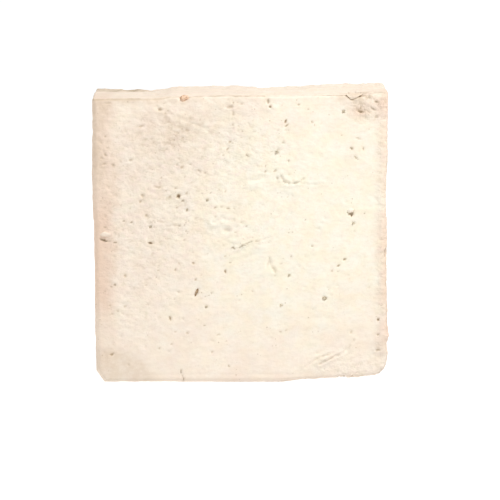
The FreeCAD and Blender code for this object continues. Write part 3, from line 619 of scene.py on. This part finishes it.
def shell(columns, heights, fine_rows, coarse_rows):
    """A closed box of quads: a fine front grid, fine rows near it, then rows and a back of half the detail.

    Returns unit-box points and faces. columns and heights are even counts of front grid cells.
    """
    across = np.linspace(0, 1, columns + 1)
    up = np.linspace(0, 1, heights + 1)
    points = [(x, 0.0, z) for z in up for x in across]
    faces = []
    wide = columns + 1
    for j in range(heights):
        for i in range(columns):
            a = j * wide + i
            faces.append((a, a + 1, a + wide + 1, a + wide))
    rim = [(i, 0) for i in range(columns)] + [(columns, j) for j in range(heights)]
    rim += [(i, heights) for i in range(columns, 0, -1)] + [(0, j) for j in range(heights, 0, -1)]
    ring = [j * wide + i for i, j in rim]
    for depth in fine_rows:
        start = len(points)
        points += [(across[i], depth, up[j]) for i, j in rim]
        following = list(range(start, start + len(rim)))
        for m in range(len(rim)):
            n = (m + 1) % len(rim)
            faces.append((ring[n], ring[m], following[m], following[n]))
        ring = following
    coarse_rim = rim[::2]
    for row, depth in enumerate([*coarse_rows, 1.0]):
        start = len(points)
        if depth < 1.0:
            points += [(across[i], depth, up[j]) for i, j in coarse_rim]
            following = list(range(start, start + len(coarse_rim)))
        else:
            points += [(x, 1.0, z) for z in up[::2] for x in across[::2]]
            wide = columns // 2 + 1
            following = [start + (j // 2) * wide + i // 2 for i, j in coarse_rim]
            for j in range(heights // 2):
                for i in range(columns // 2):
                    a = start + j * wide + i
                    faces.append((a, a + wide, a + wide + 1, a + 1))
        for m in range(len(coarse_rim)):
            n = (m + 1) % len(coarse_rim)
            if row == 0:
                a, b, c = ring[2 * m], ring[2 * m + 1], ring[(2 * m + 2) % len(ring)]
                faces += [(b, a, following[m]), (b, following[m], following[n]), (c, b, following[n])]
            else:
                faces.append((ring[n], ring[m], following[m], following[n]))
        ring = following
    return np.array(points), faces


def vertex_normals(points, faces):
    """Outward normal at each vertex of a finished mesh."""
    normals = np.zeros_like(points)
    for count in (3, 4):
        chosen = np.array([face for face in faces if len(face) == count])
        if len(chosen):
            first, second, third, last = (points[chosen[:, corner]] for corner in (0, 1, 2, -1))
            normal = np.cross(third - first, last - second)
            for corner in range(count):
                np.add.at(normals, chosen[:, corner], normal)
    return normals / np.maximum(np.linalg.norm(normals, axis=1), 1e-12)[:, None]


def add_mesh(name, points, faces, material, marks=None, coarse=None):
    """A smooth-shaded Blender object from points in mm, with colour marks and coarseness at each vertex."""
    mesh = bpy.data.meshes.new(name)
    mesh.from_pydata((points * MM).tolist(), [], faces)
    mesh.polygons.foreach_set("use_smooth", [True] * len(mesh.polygons))
    if marks is not None:
        layer = mesh.attributes.new("marks", "FLOAT_COLOR", "POINT")
        layer.data.foreach_set("color", marks.ravel())
    if coarse is not None:
        mesh.attributes.new("coarse", "FLOAT", "POINT").data.foreach_set("value", coarse)
    mesh.materials.append(material)
    piece = bpy.data.objects.new(name, mesh)
    bpy.context.scene.collection.objects.link(piece)
    return piece


def ball(detail):
    """A ball of quads: (unit directions, faces), detail cells to a side of the cube it comes from."""
    box, faces = shell(detail, detail, [k / detail for k in range(1, detail // 2)], [])
    directions = box * 2 - 1
    return directions / np.linalg.norm(directions, axis=1)[:, None], faces


# ---- materials

class Recipe:
    """The nodes of one procedural material."""

    def __init__(self, name, roughness=0.95, gloss=0.15):
        self.material = bpy.data.materials.new(name)
        self.material.use_nodes = True
        self.nodes = self.material.node_tree.nodes
        self.links = self.material.node_tree.links
        self.shader = self.nodes["Principled BSDF"]
        self.shader.inputs["Roughness"].default_value = roughness
        self.shader.inputs["Specular IOR Level"].default_value = gloss

    def place(self, stretch=(1, 1, 1), turn=0):
        """Object coordinates in millimetres, turned about Y and stretched."""
        where = self.nodes.new("ShaderNodeTexCoord")
        mapping = self.nodes.new("ShaderNodeMapping")
        mapping.inputs["Scale"].default_value = [1 / MM / value for value in stretch]
        mapping.inputs["Rotation"].default_value = (0, math.radians(turn), 0)
        self.links.new(where.outputs["Object"], mapping.inputs["Vector"])
        return mapping.outputs["Vector"]

    def stored(self, name):
        """The outputs of a value kept at the mesh's vertices."""
        attribute = self.nodes.new("ShaderNodeAttribute")
        attribute.attribute_name = name
        return attribute.outputs

    def noise(self, vector, size, detail, roughness, low=None, high=None):
        """A noise texture with lumps about size mm across, its range from low to high spread to 0 to 1."""
        texture = self.nodes.new("ShaderNodeTexNoise")
        texture.inputs["Scale"].default_value = 1 / size
        texture.inputs["Detail"].default_value = detail
        texture.inputs["Roughness"].default_value = roughness
        self.links.new(vector, texture.inputs["Vector"])
        if low is None:
            return texture.outputs["Fac"]
        return self.spread(texture.outputs["Fac"], low, high)

    def spread(self, value, low, high, to_low=0.0, to_high=1.0):
        """value from low to high mapped smoothly to the range to_low to to_high."""
        ranged = self.nodes.new("ShaderNodeMapRange")
        ranged.interpolation_type = "SMOOTHSTEP"
        ranged.inputs["From Min"].default_value = low
        ranged.inputs["From Max"].default_value = high
        ranged.inputs["To Min"].default_value = to_low
        ranged.inputs["To Max"].default_value = to_high
        self.links.new(value, ranged.inputs["Value"])
        return ranged.outputs["Result"]

    def times(self, a, b):
        """a times b, where b is a socket or a number."""
        maths = self.nodes.new("ShaderNodeMath")
        maths.operation = "MULTIPLY"
        self.links.new(a, maths.inputs[0])
        if isinstance(b, float):
            maths.inputs[1].default_value = b
        else:
            self.links.new(b, maths.inputs[1])
        return maths.outputs[0]

    def mixed(self, share, first, second, blend="MIX"):
        """The colour first turned to second, an (r, g, b) or a socket, by share."""
        mix = self.nodes.new("ShaderNodeMix")
        mix.data_type = "RGBA"
        mix.blend_type = blend
        mix.clamp_factor = True
        self.links.new(share, mix.inputs["Factor"])
        for name, colour in (("A", first), ("B", second)):
            if isinstance(colour, bpy.types.NodeSocket):
                self.links.new(colour, mix.inputs[name])
            else:
                mix.inputs[name].default_value = (*colour, 1)
        return next(output for output in mix.outputs if output.type == "RGBA")

    def bump(self, layers):
        """Fine bumps from (height socket, depth in mm) layers, stacked."""
        previous = None
        for height, depth in layers:
            bump = self.nodes.new("ShaderNodeBump")
            bump.inputs["Strength"].default_value = 1.0
            bump.inputs["Distance"].default_value = depth * MM
            self.links.new(height, bump.inputs["Height"])
            if previous is not None:
                self.links.new(previous, bump.inputs["Normal"])
            previous = bump.outputs["Normal"]
        self.links.new(previous, self.shader.inputs["Normal"])

    def finish(self, colour):
        """The material, with its colour linked to the shader."""
        self.links.new(colour, self.shader.inputs["Base Color"])
        return self.material


def chalk_material(name, cream, tan, pale):
    """Dry pressed chalk: cream with pink rubbed skin, grey dust, brown pit dirt and fine specks, and painted
    shade carried in the same marks.
    """
    mix = Recipe(name)
    here = mix.place()
    streaky = mix.place((1.5, 1, 1), -17)
    stored = mix.stored("marks")
    marks = mix.nodes.new("ShaderNodeSeparateColor")
    mix.links.new(stored["Color"], marks.inputs["Color"])
    pit_dirt_and_shade, rub_and_shade, dust_and_shade = marks.outputs
    colour = mix.mixed(mix.noise(here, 3.5, 4, 0.6, 0.35, 0.7), cream, tan)
    colour = mix.mixed(mix.times(stored["Alpha"], 0.8), colour, pale)

    # Warmer and cooler blotches, then pinker and greener flecks where the chalk is coarse.
    coarse = mix.spread(mix.stored("coarse")["Fac"], 0.0, 1.4, 0.16, 1.0)
    blotchy = mix.spread(stored["Alpha"], 0.0, 0.8, 0.55, 1.0)
    warm = mix.times(mix.noise(here, 2.6, 4, 0.50, 0.36, 0.64), blotchy)
    colour = mix.mixed(warm, colour, (1.0, 0.980, 0.922), "MULTIPLY")
    cool = mix.times(mix.noise(streaky, 1.8, 4, 0.50, 0.64, 0.36), blotchy)
    colour = mix.mixed(cool, colour, (0.963, 0.988, 1.0), "MULTIPLY")
    pinker = mix.times(mix.noise(streaky, 1.1, 4, 0.7, 0.50, 0.72), coarse)
    colour = mix.mixed(mix.times(pinker, 0.88), colour, (0.98, 0.83, 0.74))
    greener = mix.times(mix.noise(streaky, 0.8, 4, 0.7, 0.50, 0.28), coarse)
    colour = mix.mixed(mix.times(greener, 0.62), colour, (0.76, 0.69, 0.52))
    fine = mix.noise(streaky, 0.55, 4, 0.65, 0.42, 0.72)
    colour = mix.mixed(mix.times(fine, 0.20), colour, (0.78, 0.64, 0.50))

    # Pink rub, broken grey dust and lone specks. The rub and dust marks also carry painted shade on the
    # nodules' undersides, and the dust mark along the top front rim.
    colour = mix.mixed(mix.times(rub_and_shade, 0.75), colour, (0.82, 0.60, 0.46))
    broken = mix.spread(mix.noise(streaky, 0.9, 4, 0.75), 0.30, 0.62, 0.55, 1.0)
    colour = mix.mixed(mix.times(mix.times(dust_and_shade, 0.55), broken), colour, (0.65, 0.508, 0.372))
    specks = mix.nodes.new("ShaderNodeTexVoronoi")
    specks.inputs["Scale"].default_value = 1 / 0.85
    mix.links.new(here, specks.inputs["Vector"])
    lone = mix.noise(here, 1.9, 2, 0.5, 0.56, 0.66)
    dots = mix.spread(specks.outputs["Distance"], 0.20, 0.08)
    colour = mix.mixed(mix.times(mix.times(dots, lone), 0.45), colour, (0.46, 0.34, 0.22))

    # Dirt in the pits, brown at the edge and dark in the deepest part. The same mark carries painted shade:
    # along the top front rim, in the gaps under the nodules and on the nodules' undersides.
    edge = mix.spread(pit_dirt_and_shade, 0.08, 0.85)
    colour = mix.mixed(mix.times(edge, 0.85), colour, (0.56, 0.44, 0.30))
    colour = mix.mixed(mix.spread(pit_dirt_and_shade, 0.60, 1.0), colour, (0.24, 0.155, 0.085))
    grain = mix.noise(here, 0.26, 4, 0.65)
    wrinkles = mix.noise(streaky, 0.55, 4, 0.65)
    mix.bump([(mix.times(wrinkles, coarse), 0.20), (mix.times(grain, coarse), 0.10)])
    return mix.finish(colour)


def speck_material(name, dark, light, size, stretch=(1, 1, 1), turn=0):
    """Brown matter, mottled between a dark and a light colour and dusted with chalk."""
    mix = Recipe(name, 0.85, 0.25)
    along = mix.place(stretch, turn)
    colour = mix.mixed(mix.noise(along, size, 4, 0.65, 0.35, 0.65), dark, light)
    powder = mix.noise(mix.place(), size * 1.6, 3, 0.6, 0.55, 0.75)
    colour = mix.mixed(mix.times(powder, 0.55), colour, (0.86, 0.76, 0.62))
    mix.bump([(mix.noise(along, size * 0.5, 4, 0.6), 0.05)])
    return mix.finish(colour)


CHALK = chalk_material("chalk", (0.980, 0.863, 0.737), (0.945, 0.802, 0.686), (0.990, 0.930, 0.788))
HARD = chalk_material("hard_chalk", (0.950, 0.880, 0.765), (0.920, 0.817, 0.706), (0.965, 0.914, 0.800))
FIBRE = speck_material("brown_fibre", (0.22, 0.145, 0.08), (0.48, 0.34, 0.21), 0.35, (1, 1, 4), -22)
RUST = speck_material("rust", (0.58, 0.37, 0.24), (0.90, 0.66, 0.48), 0.5)
GRIT = speck_material("grit", (0.46, 0.39, 0.28), (0.68, 0.59, 0.44), 0.25)

# ---- the pieces

def finished(piece, node):
    """Tie a piece to the frame: it rides on the one body and stands for its node."""
    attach(piece, "root")
    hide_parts(node)
    return piece


def make_cake():
    """The pressed cake, wrapped onto the worn block's shape and then given its relief."""
    cell, fine_depth, depth = 0.212, 3.0, 26
    columns = 2 * round(HALF_WIDTH / cell)
    heights = 2 * round(HEIGHT / 2 / cell)
    fine = [share * fine_depth / depth for share in (0.06, 0.13, 0.21, 0.30, 0.40, 0.52, 0.66, 0.82, 1.0)]
    coarse = [(fine_depth + (depth - fine_depth) * share) / depth for share in np.linspace(0, 1, 34)[1:-1]]
    box, faces = shell(columns, heights, fine, coarse)
    outer_low = np.array([-26.6, -HALF_DEPTH - 0.6, -0.8])
    outer_high = np.array([26.6, HALF_DEPTH + 0.6, HEIGHT + 0.8])
    ends = outer_low + box * (outer_high - outer_low)
    inset = 4.2
    starts = np.clip(ends, outer_low + inset, outer_high - inset)
    points = cast(cake, starts, ends)
    normals = outward(block, points)
    height, dirt_and_shade = relief(points, normals)
    sunk, dark = seats(points, normals)
    dirt_and_shade = np.maximum(dirt_and_shade, dark)
    seat_dirt = smooth(0.28, 0.06, flake_wedge(points, 0.05)) * smooth(-7.0, -12.0, points[:, 1])
    left_arm = smooth(19.4, 18.9, points[:, 0])
    seat_dirt *= 0.20 + 0.65 * smooth(-0.4, 0.5, noise(points, 0.9, 73)) + 0.15 * left_arm
    crumbs = smooth(0.05, 0.45, layered(points, 0.9, 2, 75))
    crumbs *= blob(points[:, 0], points[:, 2], (21.6, 49.6), (3.6, 1.2))
    crumbs *= smooth(-6.0, -10.0, points[:, 1])
    dirt_and_shade = np.maximum.reduce([dirt_and_shade, 0.72 * seat_dirt, 0.55 * crumbs])
    rub_and_shade, dust_and_shade, pale = stains(points, normals)
    points = points + normals * (height + sunk)[:, None]
    points[:, 2] = np.maximum(points[:, 2], 0.0)
    facing = smooth(0.25, 0.7, -normals[:, 1])
    coarse = facing * coarseness(points[:, 0], points[:, 2]) + (1 - facing) * 1.25
    return add_mesh("chalk_cake_look", points, faces, CHALK, np.array([dirt_and_shade, rub_and_shade, dust_and_shade, pale]).T, coarse)


def make_flake():
    """The flake in its seat on the top front edge, wrapped from a line of middles so its tail stays thin."""
    box, faces = shell(28, 16, [k / 80 for k in range(1, 24)], [0.3 + 0.7 * k / 20 for k in range(1, 20)])
    low = np.array([17.4, FRONT - 0.6, 48.5])
    high = np.array([22.0, FRONT + FLAKE["reach"] + 0.6, 50.6])
    ends = low + box * (high - low)
    spine_y = np.clip(ends[:, 1], FRONT + 0.55, FRONT + 6.6)
    rise = FLAKE["thickness"] * np.clip((spine_y - FRONT) / FLAKE["reach"], 0, 2)
    middle_z = FLAKE["keel"][1] + 0.4 + 0.6 * rise
    starts = np.array([np.full(len(ends), FLAKE["keel"][0] + 0.15), spine_y, middle_z]).T
    points = cast(flake, starts, ends)
    normals = outward(flake, points, 0.02)
    height, dirt_and_shade = relief(points, normals)
    lift = 0.5 * height + 0.02 * noise(points, 0.5, 71)
    rub_and_shade, dust_and_shade, pale = stains(points, normals)
    points = points + normals * lift[:, None]
    marks = np.array([dirt_and_shade * 0.7, rub_and_shade, dust_and_shade, pale]).T
    return add_mesh("edge_flake_look", points, faces, CHALK, marks, coarseness(points[:, 0], points[:, 2]))


def lump(middle, long, wide, tilt, detail, seed, stand, knobs=0.16, grooves=0.0, waist=False, flat=1.0):
    """An uneven pebble in the front face: (points, faces). stand is how far it stands out of the face."""
    directions, faces = ball(detail)
    uneven = 1 + knobs * layered(directions + seed * 3.3, 0.9, 3, seed)
    uneven -= grooves * np.abs(noise(directions * (0.3, 4, 4), 0.8, seed + 3))
    local = directions * uneven[:, None] * (long, wide * flat, wide)
    if waist:
        lengthwise = directions[:, 0]
        narrowed = 1 - 0.60 * np.exp(-(((lengthwise + 0.22) / 0.20) ** 2)) + 0.25 * lengthwise
        local[:, 1:] *= narrowed[:, None]
    angle = math.radians(tilt)
    x = middle[0] + local[:, 0] * math.cos(angle) - local[:, 2] * math.sin(angle)
    z = middle[1] + local[:, 0] * math.sin(angle) + local[:, 2] * math.cos(angle)
    y = front_surface(*middle) + wide * flat - stand + local[:, 1]
    return np.array([x, y, z]).T, faces


def make_seated(node, material, detail, stand, knobs, grooves=0.0, marked=False):
    """Every lump of a node as one mesh; when marked, its lumps get painted shade on their undersides."""
    all_points, all_faces, count = [], [], 0
    for number, (middle, long, wide, tilt) in enumerate(SEATED[node]):
        seed = number + len(node)
        waist = node == "brown_splinter"
        flat = 0.55 if "nodule" in node else 1.0
        points, faces = lump(middle, long, wide, tilt, detail, seed, stand, knobs, grooves, waist, flat)
        all_points.append(points)
        all_faces += [tuple(corner + count for corner in face) for face in faces]
        count += len(points)
    points = np.concatenate(all_points)
    marks = None
    if marked:
        # Painted shade: each lump's downward-facing side is darkened through its pit, rub and dust marks; the
        # edge nodule also gets an even pink and grey tint.
        under = smooth(0.0, 0.9, -vertex_normals(points, all_faces)[:, 2])
        tint = 0.35 if node == "edge_nodule" else 0.0
        marks = np.array([0.30 * under, tint + 0.45 * under, 0.4 * tint + 0.2 * under, under * 0]).T
    piece = add_mesh(f"{node}_look", points, all_faces, material, marks)
    return finished(piece, node)


finished(make_cake(), "chalk_cake")
finished(make_flake(), "edge_flake")
make_seated("middle_nodule", HARD, 24, 0.12, 0.14, marked=True)
make_seated("edge_nodule", HARD, 28, 0.18, 0.18, marked=True)
make_seated("brown_splinter", FIBRE, 24, 0.06, 0.14, 0.25)
make_seated("rust_fragment", RUST, 24, 0.06, 0.30)
make_seated("grit_grains", GRIT, 12, 0.05, 0.25)

# ---- floor, light and camera

def make_floor():
    """A plain pale floor."""
    pale = Recipe("floor", 0.9, 0.0)
    pale.shader.inputs["Base Color"].default_value = (0.5, 0.5, 0.5, 1)
    pale.shader.inputs["Emission Color"].default_value = (1, 1, 1, 1)
    pale.shader.inputs["Emission Strength"].default_value = 0.80
    reach = 6000.0
    corners = np.array([(-reach, -reach, 0), (reach, -reach, 0), (reach, reach, 0), (-reach, reach, 0)])
    floor = add_mesh("floor", corners, [(0, 1, 2, 3)], pale.material)
    floor.visible_diffuse = False


def make_light(name, place_m, size, power):
    """A square softbox aimed at the middle of the block."""
    data = bpy.data.lights.new(name, "AREA")
    data.shape = "SQUARE"
    data.size = size
    data.energy = power
    light = bpy.data.objects.new(name, data)
    light.location = place_m
    light.rotation_mode = "QUATERNION"
    block_middle = Vector((0, 0, 0.025))
    light.rotation_quaternion = (Vector(place_m) - block_middle).to_track_quat("Z", "Y")
    bpy.context.scene.collection.objects.link(light)


def make_world():
    """White surroundings, brighter from below, as over a white table, and from the left."""
    world = bpy.data.worlds.new("studio")
    world.use_nodes = True
    nodes, links = world.node_tree.nodes, world.node_tree.links
    background = nodes["Background"]
    where = nodes.new("ShaderNodeTexCoord")
    slope = nodes.new("ShaderNodeVectorMath")
    slope.operation = "DOT_PRODUCT"
    slope.inputs[1].default_value = (-0.55, 0.0, -0.83)
    links.new(where.outputs["Generated"], slope.inputs[0])
    ramp = nodes.new("ShaderNodeMapRange")
    ramp.inputs["From Min"].default_value = -1.0
    ramp.inputs["From Max"].default_value = 1.0
    ramp.inputs["To Min"].default_value = 0.22
    ramp.inputs["To Max"].default_value = 1.38
    links.new(slope.outputs["Value"], ramp.inputs["Value"])
    ray = nodes.new("ShaderNodeLightPath")
    seen = nodes.new("ShaderNodeMix")
    links.new(ray.outputs["Is Camera Ray"], seen.inputs["Factor"])
    links.new(ramp.outputs["Result"], seen.inputs["A"])
    seen.inputs["B"].default_value = 1.05
    links.new(seen.outputs["Result"], background.inputs["Strength"])
    background.inputs["Color"].default_value = (1, 1, 1, 1)
    bpy.context.scene.world = world


def make_camera():
    """A long lens a metre from the front face, a little above it."""
    rise = math.radians(6.0)
    away = 1.0
    sensor_mm, image_side, pixels_per_mm = 36.0, 500, 5.79
    target = Vector((1.75, FRONT, 23.05)) * MM
    data = bpy.data.cameras.new("camera")
    data.sensor_width = sensor_mm
    data.lens = sensor_mm * pixels_per_mm * away / MM / image_side
    data.clip_start = 0.01
    data.clip_end = 20.0
    camera = bpy.data.objects.new("camera", data)
    back = Vector((0, -math.cos(rise), math.sin(rise)))
    camera.location = target + back * away
    camera.rotation_mode = "QUATERNION"
    camera.rotation_quaternion = back.to_track_quat("Z", "Y")
    bpy.context.scene.collection.objects.link(camera)
    bpy.context.scene.camera = camera


make_floor()
make_world()
make_light("key", (0.24, -0.17, 0.38), 0.10, 1.75)
make_camera()
scene = bpy.context.scene
scene.view_settings.view_transform = "Standard"
scene.view_settings.look = "None"
